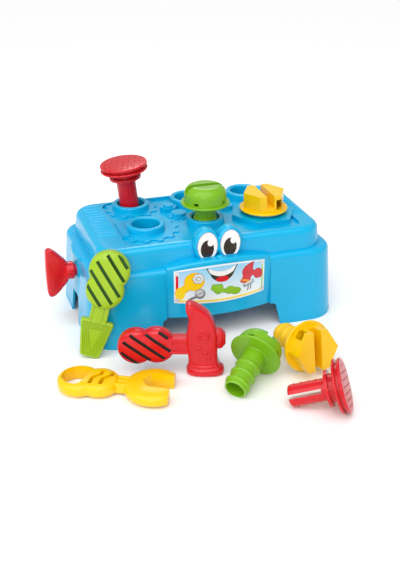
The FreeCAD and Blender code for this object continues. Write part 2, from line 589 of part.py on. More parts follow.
# ---------------------------------------------------------------- vise knob
def make_knob():
    """Wing knob, washer, spindle and retaining screw on the left end; the spindle points to +X."""
    face = "-(dims.side_face + dims.side_bow + 0.6)"
    high, out = "dims.knob_high", "dims.knob_out"
    wing = prism("knob_wing", "dims.knob_thick", ("-6", f"-{high} * 0.55"), ("-9", f"-{high}"),
                 (f"-{out} * 0.6", f"-{high} * 1.04", f"-{out}", f"-{high} * 0.8"),
                 (f"-{out} * 0.93", "0", f"-{out}", f"{high} * 0.8"),
                 (f"-{out} * 0.6", f"{high} * 1.04", "-9", f"{high}"), ("-6", f"{high} * 0.55"),
                 ("2", "dims.hub_rad"), ("2", "-dims.hub_rad"), role="XZ_Plane", both=True)
    lay = FreeCAD.Rotation(V(0, 1, 0), 90)
    hub = at(primitive("Cylinder", "knob_hub", Radius="dims.hub_rad", Height="dims.hub_long"), "-6", "0", "0", lay)
    stem = primitive("Cylinder", "knob_stem", Radius="dims.spindle_rad", Height="dims.hub_long + dims.spindle_in")
    at(stem, "-6", "0", "0", lay)
    drill = at(primitive("Cylinder", "knob_drill", Radius="dims.knob_screw_hole", Height="10"),
               "dims.hub_long + dims.spindle_in - 6 - 9", "0", "0", lay)
    knob = cut("vise_knob", fuse("knob_whole", wing, hub, stem), drill)
    at(knob, f"dims.bench_x + {face} - 4", "dims.bench_y + dims.knob_y", "dims.knob_z")
    end = "dims.hub_long + dims.spindle_in - 6"
    washer = cut("washer_blank", cylinder("washer_disc", "dims.washer_rad", "0", "dims.washer_thick"),
                 cylinder("washer_bore", "dims.knob_screw_hole + 0.4", "-1", "dims.washer_thick + 1"))
    disc = DOC.addObject("Part::Compound", "knob_washer")
    disc.Links = [washer]
    at(disc, f"dims.bench_x + {face} - 4 + {end}", "dims.bench_y + dims.knob_y", "dims.knob_z", lay)
    shank, head = "dims.knob_screw_hole - 0.1", "dims.knob_screw_rad"
    screw = turned("knob_screw", ("0", "-6"), (shank, "-6"), (shank, "dims.washer_thick"),
                   (head, "dims.washer_thick"), (head, "dims.washer_thick + 1"),
                   (f"{head} - 1", "dims.washer_thick + 2"), ("0", "dims.washer_thick + 2"))
    at(screw, f"dims.bench_x + {face} - 4 + {end}", "dims.bench_y + dims.knob_y", "dims.knob_z", lay)
    return [knob, disc, screw]


# ---------------------------------------------------------------- tools
DRIVER_GROOVES = [("-12.2", "-21.5", -46.5, 33), ("-5.6", "-8.5", -46.5, 54), ("0.9", "3.8", -46.5, 56),
                  ("6.9", "19.5", -46.5, 41), ("13.8", "30", -46.5, 22)]
HAMMER_GROOVES = [("-8", "-13.5", -37.6, 27), ("1", "-3.2", -37.6, 43), ("14", "2.5", -37.6, 55),
                  ("26.5", "8.8", -37.6, 41), ("34", "18.5", -37.6, 14)]


def driver_solid(name, inset, half):
    """Blade up to the handle: x across, y along the tool, z through it; the edge is at y = 0."""
    low, high = f"dims.blade_low - {inset}", f"dims.blade_high - {inset}"
    thin = f"dims.blade_half - {inset}"
    blade = prism(name + "_blade", thin, (f"-({low}) + 2", inset), (f"{low} - 2", inset),
                  (f"{low} - 0.3", f"{inset} + 0.6", low, f"{inset} + 2.6"),
                  (high, f"dims.blade_len - {inset} - 4"),
                  (f"{high} - 1.2", f"dims.blade_len - {inset} - 1", f"{high} - 4", f"dims.blade_len - {inset}"),
                  (f"-({high}) + 4", f"dims.blade_len - {inset}"),
                  (f"-({high}) + 1.2", f"dims.blade_len - {inset} - 1",
                   f"-({high})", f"dims.blade_len - {inset} - 4"),
                  (f"-({low})", f"{inset} + 2.6"), (f"-({low}) + 0.3", f"{inset} + 0.6", f"-({low}) + 2", inset))
    neck = block(name + "_neck", f"-dims.shaft_half + {inset}", f"dims.shaft_half - {inset}", "dims.blade_len - 8",
                 "dims.driver_low_bulb", "2", "0", f"dims.blade_half + 0.5 - {inset}")
    return fuse(name, blade, neck, *bulbs(name, inset, [("0", "dims.driver_low_bulb", "dims.bulb_small"),
                                                        ("0", "dims.driver_high_bulb", "dims.bulb_big")], half))


def hammer_solid(name, inset, half):
    """Handle to the left, head upright: x along the handle, y up, z through; the striking face is at y = 0."""
    rad = "dims.hammer_bulb"
    spots = [("-dims.hammer_bulb_x", "dims.hammer_bulb_z", rad),
             ("-dims.hammer_bulb_x + dims.hammer_bulb_gap", "dims.hammer_bulb_z + 1.5", rad)]
    neck = block(name + "_neck", "-dims.hammer_bulb_x + dims.hammer_bulb_gap", "0",
                 f"dims.hammer_neck_z - 11.5 + {inset}", f"dims.hammer_neck_z + 11.5 - {inset}", "2",
                 "0", f"{half} - 2 - {inset}")
    head = prism(name + "_head", f"{half} - {inset}", (f"-18 + {inset}", "9"),
                 (f"-21.5 + {inset}", "29", f"-22.5 + {inset}", "48"),
                 (f"-23 + {inset}", "58", f"-20.5 + {inset}", "70"),
                 (f"-19.5 + {inset}", "82", f"-24.5 + {inset} * 0.8", f"92.5 - {inset} * 0.7"),
                 (f"-22.5 + {inset} * 0.4", f"97.5 - {inset}", f"-17 - {inset} * 0.2", f"97 - {inset}"),
                 (f"5 - {inset} * 0.9", f"83 - {inset} * 0.7", f"13.5 - {inset}", "56"), (f"14.5 - {inset}", "9"))
    claw = block(name + "_knob", "0", f"24.5 - {inset}", f"37 + {inset}", f"61.5 - {inset}", f"6 - {inset}", "0",
                 f"{half} - 1.5 - {inset}")
    face = block(name + "_face", f"-dims.face_half + {inset}", f"dims.face_half - {inset}", inset,
                 f"dims.face_thick - {inset}", f"4.5 - {inset}", "0", f"dims.face_deep - {inset}")
    return fuse(name, neck, head, claw, face, *bulbs(name, inset, spots, half))


def wrench_solid(name, inset, half):
    """Ring end to the left, open jaw to the right: x along the tool, y across, z through; ring centre at x = 0."""
    spots = [("0", "0", "dims.ring_rad"), ("dims.ring_two_x", "0", "dims.ring_two")]
    neck = block(name + "_neck", "dims.ring_two_x", "dims.jaw_x - 20", f"-dims.wrench_neck + {inset}",
                 f"dims.wrench_neck - {inset}", "2", "0", f"{half} - 2.5 - {inset}")
    jaw = cylinder(name + "_jaw", f"dims.jaw_rad - {inset}", "0", f"{half} - {inset}", "dims.jaw_x")
    trim = block(name + "_trim", f"dims.jaw_tip - {inset}", "dims.jaw_tip + 60", "-60", "60", "1", "-1", "40")
    gap = f"dims.jaw_gap + {inset}"
    mouth = prism(name + "_mouth", "40", ("dims.jaw_tip + 9", f"-({gap}) - 2"), ("dims.jaw_x - 8", f"-({gap})"),
                  (f"dims.jaw_x - 16 - {inset}", f"-({gap}) / 2"), (f"dims.jaw_x - 16 - {inset}", f"({gap}) / 2"),
                  ("dims.jaw_x - 8", gap), ("dims.jaw_tip + 9", f"({gap}) + 2"), base="-1")
    ring = block(name + "_ring", f"-dims.ring_hole - {inset}", f"dims.ring_hole - 4 + {inset}",
                 f"-dims.ring_hole - {inset}", f"dims.ring_hole + {inset}", "dims.ring_hole * 0.8", "-1", "40")
    slots = []
    wide = f"(dims.wrench_slot / 2 + {inset})"
    for k in range(2):
        slot = prism(f"{name}_slot_{k}", "40", (f"-4.5 - {wide}", f"-13 - {inset}"),
                     (f"-4.5 - {wide}", "-4"), (f"4.5 - {wide}", "5"), (f"4.5 - {wide}", f"13 + {inset}"),
                     (f"4.5 + {wide}", f"13 + {inset}"), (f"4.5 + {wide}", "4"), (f"-4.5 + {wide}", "-5"),
                     (f"-4.5 + {wide}", f"-13 - {inset}"), base="-1")
        slots.append(at(slot, f"{21.5 + 12.5 * k}"))
    return cut(name, fuse(name + "_whole", neck, jaw, *bulbs(name, inset, spots, half)), trim, mouth, ring, *slots)


def bulbs(name, inset, spots, half):
    """The round, soft-edged prisms of a handle, drawn in by inset."""
    made = []
    for k, (x, y, radius) in enumerate(spots):
        rad, high, bend = f"{radius} - {inset}", f"{half} - {inset}", f"dims.tool_round - {inset} / 2"
        bulb = turned(f"{name}_bulb_{k}", ("0", "0"), (rad, "0"), (rad, f"{high} - ({bend})"),
                      (f"{rad} - ({bend}) * 0.293", f"{high} - ({bend}) * 0.293", f"{rad} - ({bend})", high),
                      ("0", high))
        made.append(at(bulb, x, y))
    return made


def tool_shell(name, build, grooves, way):
    """One moulded half of a tool, split at z = 0; way is 1 for the front half and -1 for the back half."""
    half = "dims.tool_half"
    outer = build(name + "_outer", "0", half)
    inner = at(build(name + "_inner", "dims.tool_skin", half), "0", "0", "-0.01")
    cuts = [inner]
    for k, (x, y, angle, length) in enumerate(grooves):
        groove = block(f"{name}_groove_{k}", f"-{length} / 2", f"{length} / 2", "-dims.groove_wide / 2",
                       "dims.groove_wide / 2", "dims.groove_wide / 2 - 0.05", f"{half} - dims.groove_deep", "6")
        cuts.append(at(groove, x, y, "0", FreeCAD.Rotation(UP, angle)))
    shell = cut(name + "_cup", outer, *cuts)
    half_shell = DOC.addObject("Part::Compound", name)
    if way < 0:
        mirror = DOC.addObject("Part::Mirroring", name + "_mirror")
        mirror.Source = shell
        mirror.Normal = UP
        shell = mirror
    half_shell.Links = [shell]
    return half_shell


def shifted(grooves, x, y):
    return [(f"{x} + {a}", f"{y} + {b}", angle, length) for a, b, angle, length in grooves]


def make_tools():
    kinds = [("screwdriver", driver_solid,
              shifted(DRIVER_GROOVES, "0", "(dims.driver_low_bulb + dims.driver_high_bulb) / 2")),
             ("hammer", hammer_solid, shifted(HAMMER_GROOVES, "-dims.hammer_bulb_x", "dims.hammer_bulb_z")),
             ("wrench", wrench_solid, [])]
    tools = {}
    for name, build, grooves in kinds:
        tools[name] = [tool_shell(f"{name}_front", build, grooves, 1),
                       tool_shell(f"{name}_back", build, grooves, -1)]
    return tools


# ---------------------------------------------------------------- where everything lies
def lying(yaw, tilt, spin):
    """A peg on its side: its axis points along yaw and rises by tilt; spin turns it about its own axis."""
    return (FreeCAD.Rotation(UP, number(yaw)) * FreeCAD.Rotation(V(0, 1, 0), 90 - number(tilt))
            * FreeCAD.Rotation(UP, spin))


def facing(along, face):
    """A tool whose own y points along the first vector and whose own z faces the second as nearly as it can."""
    return FreeCAD.Rotation(V(), along, face, "YZX")


def settle(pieces, x, y, turn, z=None):
    """Places the pieces of one assembly together; without z they are lowered until they touch the floor."""
    if z is None:
        for piece in pieces:
            piece.Placement = FreeCAD.Placement(V(0, 0, 0), turn)
        DOC.recompute()
        lowest = min(piece.Shape.optimalBoundingBox(False, False).ZMin for piece in pieces)
        z = f"{-lowest + 0.02:.3f}"
    for piece in pieces:
        at(piece, f"dims.bench_x + {x}", f"dims.bench_y + {y}", z, turn)
    return pieces


def make_pegs():
    lean = math.radians(number("dims.nail_lean"))
    rise = number("dims.collar_z + dims.nail_lift - dims.nail_pivot_z")
    nail = settle([nail_body("raised_nail_body"), nail_cap("raised_nail_cap")],
                  f"dims.hole_left - {rise * math.tan(lean):.4f}", "dims.row_back",
                  FreeCAD.Rotation(V(0, 1, 0), -number("dims.nail_lean")) * FreeCAD.Rotation(UP, -18),
                  "dims.collar_z + dims.nail_lift")
    screw = settle([shank_wall("raised_screw_body"), dome_cap("raised_screw_cap")], "dims.hole_mid",
                   "dims.row_front", FreeCAD.Rotation(UP, 0), "dims.collar_z + dims.screw_lift")
    bolt = settle([shank_wall("seated_bolt_body"), hex_cap("seated_bolt_cap")], "dims.hole_right",
                  "dims.row_front", FreeCAD.Rotation(UP, 90), "dims.collar_z + dims.bolt_gap")
    loose_screw = settle([shank_wall("loose_screw_body"), dome_cap("loose_screw_cap")], "dims.loose_screw_x",
                         "dims.loose_screw_y", lying("dims.loose_screw_yaw", "dims.loose_screw_tilt", 35))
    loose_bolt = settle([shank_wall("loose_bolt_body"), hex_cap("loose_bolt_cap")], "dims.loose_bolt_x",
                        "dims.loose_bolt_y", lying("dims.loose_bolt_yaw", "dims.loose_bolt_tilt", 0))
    loose_nail = settle([nail_body("loose_nail_body"), nail_cap("loose_nail_cap")], "dims.loose_nail_x",
                        "dims.loose_nail_y", lying("dims.loose_nail_yaw", "dims.loose_nail_tilt", 65))
    return nail + screw + bolt + loose_screw + loose_bolt + loose_nail


def place_tools(tools):
    """The screwdriver leans on the front, the hammer stands on its striking face and the wrench lies flat."""
    yaw = math.radians(number("dims.view_yaw"))
    front = V(-math.sin(yaw), -math.cos(yaw), 0)
    settle(tools["screwdriver"], "dims.driver_x", "dims.driver_y", facing(V(0.285, 0.065, 0.956), front))
    settle(tools["hammer"], "dims.hammer_x", "dims.hammer_y", facing(UP, front))
    settle(tools["wrench"], "dims.wrench_x", "dims.wrench_y", FreeCAD.Rotation(UP, number("dims.wrench_yaw")))
    return [half for pair in tools.values() for half in pair]


# ---------------------------------------------------------------- build, check and write
def check(parts):
    DOC.recompute()
    for obj in DOC.Objects:
        if {"Invalid", "Error"} & set(obj.State):
            raise RuntimeError(f"{obj.Name} failed: {obj.State}")
    for part in parts:
        if part.Shape.isNull() or not part.Shape.isValid():
            raise RuntimeError(f"{part.Name} has no valid shape")


def main():
    parts = [make_bench(), make_label(), *make_eyes(), *make_knob(), *make_pegs(), *place_tools(make_tools())]
    check(parts)
    os.makedirs("parts", exist_ok=True)
    for part in parts:
        part.Label = part.Name
        part.Shape.exportStep(f"parts/{part.Label}.step")
    box = FreeCAD.BoundBox()
    for part in parts:
        box.add(part.Shape.optimalBoundingBox(False, False))
    print(f"{len(parts)} parts, x {box.XMin:.2f} to {box.XMax:.2f}, y {box.YMin:.2f} to {box.YMax:.2f}, "
          f"z {box.ZMin:.2f} to {box.ZMax:.2f}")


main()
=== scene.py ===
import json
import math

import bmesh
import bpy
from mathutils import Euler, Matrix, Vector


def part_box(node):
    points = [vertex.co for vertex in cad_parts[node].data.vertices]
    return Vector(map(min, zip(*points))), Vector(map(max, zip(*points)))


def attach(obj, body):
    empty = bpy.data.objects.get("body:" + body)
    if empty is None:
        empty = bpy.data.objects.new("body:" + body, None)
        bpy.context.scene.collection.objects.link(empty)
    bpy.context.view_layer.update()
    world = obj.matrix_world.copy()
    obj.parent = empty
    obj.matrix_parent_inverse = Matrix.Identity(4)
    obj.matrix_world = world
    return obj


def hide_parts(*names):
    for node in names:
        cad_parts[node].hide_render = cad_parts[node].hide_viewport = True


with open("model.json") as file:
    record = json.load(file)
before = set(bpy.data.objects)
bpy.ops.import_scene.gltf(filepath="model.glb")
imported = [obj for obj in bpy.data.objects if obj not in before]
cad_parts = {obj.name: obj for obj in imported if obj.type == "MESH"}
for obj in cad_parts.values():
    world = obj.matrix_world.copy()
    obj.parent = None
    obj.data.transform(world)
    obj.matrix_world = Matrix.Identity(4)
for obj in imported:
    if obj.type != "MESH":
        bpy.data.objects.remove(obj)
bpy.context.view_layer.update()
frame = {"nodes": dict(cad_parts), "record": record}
MM = 0.001

# ---------------------------------------------------------------- sizes, in mm about the bench's centre
BENCH = Vector((29.0, 123.2, 0.0))  # the bench's centre on the floor, in the frame

# the bowed panel: half its width, how far its ends stand out from the centre, and the rise of its bow
PANEL_HALF, PANEL_SIDE, PANEL_BOW = 72.0, 102.3, 10.7

# the label on it, whose lower edge sags and upper edge rises towards the middle
LABEL_HALF, LABEL_LOW, LABEL_HIGH = 62.5, 55.0, 100.0
LABEL_SAG, LABEL_RISE = 4.0, 5.0
LABEL_MARGIN = 2.2

# the eyes, on a flat plate whose lower rim cuts them off
EYE_FACE, EYE_X, EYE_Z, EYE_RIM = 101.5, 15.6, 127.5, 112.4
EYE_WIDE, EYE_HIGH = 13.8, 19.5

STICKER = 0.45  # how far the CAD's label and eyes stand out: their thickness and the gap behind them
LAYER = 0.06  # step from one printed layer to the next

GRIP_HALF = 9.9  # half the thickness of a tool's grip
FACE_DEPTH = 0.9  # depth of the recessed face on the hammer's head
FACING = math.radians(18)  # how far the hammer and the screwdriver are turned to the left
FRONT = Vector((-math.sin(FACING), -math.cos(FACING), 0))
UP = Vector((0, 0, 1))
THROUGH = 20  # reach of a cutter that goes right through a tool
BLADE_LONG, BLADE_LOW, BLADE_HIGH = 50, 12.4, 21.8  # the driver's blade, with half its width at either end

# where the tools and the knob are
DRIVER_SPOT, DRIVER_LEAN = (-180, -115.8), Vector((0.285, 0.065, 0.956))
HAMMER_SPOT = (-50, -197)
WRENCH_SPOT, WRENCH_TURN = (-206, -184), math.radians(-26.9)
KNOB_SPOT = Vector((-178.6, -12, 78))

# the camera
VIEW_YAW, VIEW_PITCH = 18.06, 25.99
EYE_POINT = Vector((-366.0, -1144.7, 608.6))
LENS = 58.87


def place(x, y, z):
    """A point given in millimetres about the bench's centre, in the frame's metres."""
    return (Vector((x, y, z)) + BENCH) * MM


# ---------------------------------------------------------------- materials
def new_material(name):
    """A node material, with its nodes, its links and its shader."""
    material = bpy.data.materials.new(name)
    material.use_nodes = True
    tree = material.node_tree
    return material, tree.nodes, tree.links, tree.nodes["Principled BSDF"]


def moulded_plastic(name, colour, shade, roughness=0.28, grain=0.03, gloss=0.35):
    """Moulded plastic: slow colour drift, a fine satin grain, and patches that were polished by handling."""
    material, nodes, links, shader = new_material(name)
    shader.inputs["IOR"].default_value = 1.49
    shader.inputs["Specular IOR Level"].default_value = 0.38
    shader.inputs["Coat Weight"].default_value = gloss
    shader.inputs["Coat Roughness"].default_value = 0.12
    place_in = nodes.new("ShaderNodeTexCoord")
    drift = nodes.new("ShaderNodeTexNoise")
    drift.inputs["Scale"].default_value = 14.0
    drift.inputs["Detail"].default_value = 3.0
    tint = nodes.new("ShaderNodeMix")
    tint.data_type = "RGBA"
    tint.inputs["A"].default_value = (*colour, 1)
    tint.inputs["B"].default_value = (*shade, 1)
    fine = nodes.new("ShaderNodeTexNoise")
    fine.inputs["Scale"].default_value = 900.0
    fine.inputs["Detail"].default_value = 2.0
    bump = nodes.new("ShaderNodeBump")
    bump.inputs["Strength"].default_value = grain
    bump.inputs["Distance"].default_value = 0.0004
    wear = nodes.new("ShaderNodeMapRange")
    wear.inputs["To Min"].default_value = roughness - 0.06
    wear.inputs["To Max"].default_value = roughness + 0.1
    links.new(place_in.outputs["Object"], drift.inputs["Vector"])
    links.new(place_in.outputs["Object"], fine.inputs["Vector"])
    links.new(drift.outputs["Fac"], tint.inputs["Factor"])
    links.new(tint.outputs["Result"], shader.inputs["Base Color"])
    links.new(drift.outputs["Fac"], wear.inputs["Value"])
    links.new(wear.outputs["Result"], shader.inputs["Roughness"])
    links.new(fine.outputs["Fac"], bump.inputs["Height"])
    links.new(bump.outputs["Normal"], shader.inputs["Normal"])
    return material


def printed_ink(name, low, high, base=0.0, span=1.0):
    """Ink on glossy vinyl, shading from one colour up to another, with the print's faint dots."""
    material, nodes, links, shader = new_material(name)
    shader.inputs["Coat Weight"].default_value = 0.5
    shader.inputs["Coat Roughness"].default_value = 0.08
    place_in = nodes.new("ShaderNodeTexCoord")
    split = nodes.new("ShaderNodeSeparateXYZ")
    height = nodes.new("ShaderNodeMapRange")
    height.inputs["From Min"].default_value = base * MM
    height.inputs["From Max"].default_value = (base + span) * MM
    dots = nodes.new("ShaderNodeTexVoronoi")
    dots.inputs["Scale"].default_value = 2200.0
    blend = nodes.new("ShaderNodeMix")
    blend.data_type = "RGBA"
    blend.inputs["A"].default_value = (*low, 1)
    blend.inputs["B"].default_value = (*high, 1)
    gloss = nodes.new("ShaderNodeMapRange")
    gloss.inputs["To Min"].default_value = 0.22
    gloss.inputs["To Max"].default_value = 0.32
    links.new(place_in.outputs["Object"], split.inputs["Vector"])
    links.new(split.outputs["Z"], height.inputs["Value"])
    links.new(height.outputs["Result"], blend.inputs["Factor"])
    links.new(blend.outputs["Result"], shader.inputs["Base Color"])
    links.new(place_in.outputs["Object"], dots.inputs["Vector"])
    links.new(dots.outputs["Distance"], gloss.inputs["Value"])
    links.new(gloss.outputs["Result"], shader.inputs["Roughness"])
    return material


def zinc(name):
    """Zinc-plated steel with fine turning marks."""
    material, nodes, links, shader = new_material(name)
    shader.inputs["Metallic"].default_value = 1.0
    place_in = nodes.new("ShaderNodeTexCoord")
    marks = nodes.new("ShaderNodeTexNoise")
    marks.inputs["Scale"].default_value = 400.0
    tone = nodes.new("ShaderNodeMix")
    tone.data_type = "RGBA"
    tone.inputs["A"].default_value = (0.55, 0.55, 0.57, 1)
    tone.inputs["B"].default_value = (0.72, 0.72, 0.74, 1)
    rough = nodes.new("ShaderNodeMapRange")
    rough.inputs["To Min"].default_value = 0.25
    rough.inputs["To Max"].default_value = 0.45
    links.new(place_in.outputs["Object"], marks.inputs["Vector"])
    links.new(marks.outputs["Fac"], tone.inputs["Factor"])
    links.new(tone.outputs["Result"], shader.inputs["Base Color"])
    links.new(marks.outputs["Fac"], rough.inputs["Value"])
    links.new(rough.outputs["Result"], shader.inputs["Roughness"])
    return material


BLUE = moulded_plastic("sky_blue_plastic", (0.0, 0.43, 0.73), (0.0, 0.385, 0.68), 0.2, gloss=0.12)
RED = moulded_plastic("red_plastic", (0.66, 0.004, 0.012), (0.55, 0.002, 0.008), 0.24, gloss=0.15)
GREEN = moulded_plastic("leaf_green_plastic", (0.2, 0.46, 0.01), (0.16, 0.4, 0.006), 0.3, gloss=0.1)
LIME = moulded_plastic("lime_plastic", (0.33, 0.52, 0.012), (0.28, 0.46, 0.008), 0.3, gloss=0.1)
YELLOW = moulded_plastic("yellow_plastic", (0.92, 0.565, 0.0), (0.86, 0.5, 0.0), 0.26, gloss=0.1)
# painted shade: near-black walls for the hammer's handle slots, standing for the shadow deep inside them
SLOT_SHADE = moulded_plastic("painted_slot_shade", (0.018, 0.014, 0.012), (0.03, 0.02, 0.015), 0.6, gloss=0.0)
# painted shade: dark green walls for the screwdriver's handle slots, standing for the shadow deep inside them
GREEN_SLOT_SHADE = moulded_plastic("painted_green_slot_shade", (0.02, 0.1, 0.004), (0.014, 0.075, 0.004), 0.5, gloss=0.0)
ZINC = zinc("zinc_plate")


# ---------------------------------------------------------------- outlines, as lists of points in a plane
def disc(x, z, radius, tall=None, count=40):
    """A round or, with its own height, an oval outline."""
    tall = tall or radius
    return [(x + radius * math.cos(2 * math.pi * k / count), z + tall * math.sin(2 * math.pi * k / count))
            for k in range(count)]


def arc(x, z, radius, start, stop, count=14, tall=None):
    """Points along part of a circle or an oval, between two angles in degrees."""
    tall = tall or radius
    angles = [math.radians(start + (stop - start) * k / count) for k in range(count + 1)]
    return [(x + radius * math.cos(a), z + tall * math.sin(a)) for a in angles]


def oval(half_x, half_y, power=2.6, count=48):
    """A squarish oval."""
    made = []
    for k in range(count):
        angle = 2 * math.pi * k / count
        cos, sin = math.cos(angle), math.sin(angle)
        made.append((half_x * math.copysign(abs(cos) ** (2 / power), cos),
                     half_y * math.copysign(abs(sin) ** (2 / power), sin)))
    return made


def curve_through(points, count=6):
    """A closed smooth curve through points."""
    made = []
    for k, here in enumerate(points):
        before, after, beyond = points[k - 1], points[(k + 1) % len(points)], points[(k + 2) % len(points)]
        for step in range(count):
            t = step / count
            made.append(tuple(0.5 * (2 * here[i] + (after[i] - before[i]) * t
                                     + (2 * before[i] - 5 * here[i] + 4 * after[i] - beyond[i]) * t ** 2
                                     + (3 * here[i] - before[i] - 3 * after[i] + beyond[i]) * t ** 3)
                              for i in (0, 1)))
    return made


def bar(x0, z0, x1, z1, half):
    """A straight bar with round ends from one point to another."""
    turn = math.degrees(math.atan2(z1 - z0, x1 - x0))
    return arc(x1, z1, half, turn - 90, turn + 90, 8) + arc(x0, z0, half, turn + 90, turn + 270, 8)


def rectangle(x, y, long, wide, turn=0.0):
    """The corners of a rectangle about a point, its long side turned by an angle in degrees."""
    cos, sin = math.cos(math.radians(turn)), math.sin(math.radians(turn))
    return [(x + a * cos * long / 2 - b * sin * wide / 2, y + a * sin * long / 2 + b * cos * wide / 2)
            for a, b in ((-1, -1), (1, -1), (1, 1), (-1, 1))]


# ---------------------------------------------------------------- printed sticker art
def bow_y(x):
    """How far the label panel's bowed front stands out at x."""
    radius = (PANEL_HALF ** 2 + PANEL_BOW ** 2) / (2 * PANEL_BOW)
    return radius - PANEL_SIDE - PANEL_BOW - math.sqrt(radius ** 2 - x ** 2)


def print_shapes(name, shapes, surface, step=3.0):
    """Flat printed shapes, each (material, layer, points in x and z), laid on a surface that gives y at x."""
    mesh = bmesh.new()
    inks = []
    for ink, layer, points in shapes:
        if ink not in inks:
            inks.append(ink)
        shape = bmesh.new()
        face = shape.faces.new([shape.verts.new((x, 0, z)) for x, z in points])
        bmesh.ops.triangulate(shape, faces=[face])
        low = min(x for x, z in points)
        high = max(x for x, z in points)
        for k in range(1, int((high - low) / step) + 1):
            bmesh.ops.bisect_plane(shape, geom=shape.verts[:] + shape.edges[:] + shape.faces[:],
                                   plane_co=(low + k * step, 0, 0), plane_no=(1, 0, 0))
        for vert in shape.verts:
            vert.co.y = surface(vert.co.x) - STICKER - LAYER * layer
        bmesh.ops.recalc_face_normals(shape, faces=shape.faces)
        if sum(f.normal.y * f.calc_area() for f in shape.faces) > 0:
            bmesh.ops.reverse_faces(shape, faces=shape.faces)
        for f in shape.faces:
            f.material_index = inks.index(ink)
        temporary = bpy.data.meshes.new("shape")
        shape.to_mesh(temporary)
        mesh.from_mesh(temporary)
        shape.free()
        bpy.data.meshes.remove(temporary)
    for vert in mesh.verts:
        vert.co = place(*vert.co)
    data = bpy.data.meshes.new(name)
    mesh.to_mesh(data)
    mesh.free()
    for ink in inks:
        data.materials.append(ink)
    piece = bpy.data.objects.new(name, data)
    bpy.context.scene.collection.objects.link(piece)
    return piece


WHITE = printed_ink("white_ink", (0.86, 0.87, 0.88), (0.9, 0.9, 0.9), 50, 60)
BLACK = printed_ink("black_ink", (0.035, 0.035, 0.04), (0.008, 0.008, 0.01), 50, 90)
SKY = printed_ink("sky_ink", (0.88, 0.93, 0.97), (0.26, 0.62, 0.9), 58, 46)
INK_RED = printed_ink("red_ink", (0.74, 0.01, 0.02), (0.62, 0.0, 0.02), 50, 60)
INK_DARK_RED = printed_ink("dark_red_ink", (0.35, 0.0, 0.01), (0.3, 0.0, 0.01), 50, 60)
INK_YELLOW = printed_ink("yellow_ink", (0.95, 0.75, 0.02), (1.0, 0.55, 0.0), 55, 45)
INK_ORANGE = printed_ink("orange_ink", (0.9, 0.36, 0.0), (0.85, 0.3, 0.0), 55, 45)
INK_GREEN = printed_ink("green_ink", (0.22, 0.5, 0.02), (0.3, 0.62, 0.04), 55, 30)
INK_DARK_GREEN = printed_ink("dark_green_ink", (0.06, 0.25, 0.01), (0.08, 0.3, 0.01), 55, 30)
STEEL = printed_ink("steel_ink", (0.16, 0.18, 0.2), (0.5, 0.53, 0.56), 55, 45)
PALE_STEEL = printed_ink("pale_steel_ink", (0.62, 0.64, 0.67), (0.8, 0.82, 0.84), 55, 45)


def label_edge(x, low):
    """The label's lower or upper edge at x."""
    bend = 1 - (x / LABEL_HALF) ** 2
    return LABEL_LOW - LABEL_SAG * bend if low else LABEL_HIGH + LABEL_RISE * bend


def band(x0, x1, low_gap, high_gap, count=20):
    """A strip of the label between two x values, inset from the lower and the upper edge."""
    xs = [x0 + (x1 - x0) * k / count for k in range(count + 1)]
    return ([(x, label_edge(x, True) + low_gap) for x in xs]
            + [(x, label_edge(x, False) - high_gap) for x in reversed(xs)])


def low_strip(x0, x1, gap, thick, count=20):
    """A strip that follows the label's lower edge at a gap."""
    xs = [x0 + (x1 - x0) * k / count for k in range(count + 1)]
    return ([(x, label_edge(x, True) + gap) for x in xs]
            + [(x, label_edge(x, True) + gap + thick) for x in reversed(xs)])


def screw_mark(x, z):
    """A small printed screw head."""
    return [(STEEL, 8, disc(x, z, 2.9, count=20)), (WHITE, 9, disc(x, z, 2.4, count=20)),
            (STEEL, 10, disc(x, z, 1.1, count=12))]


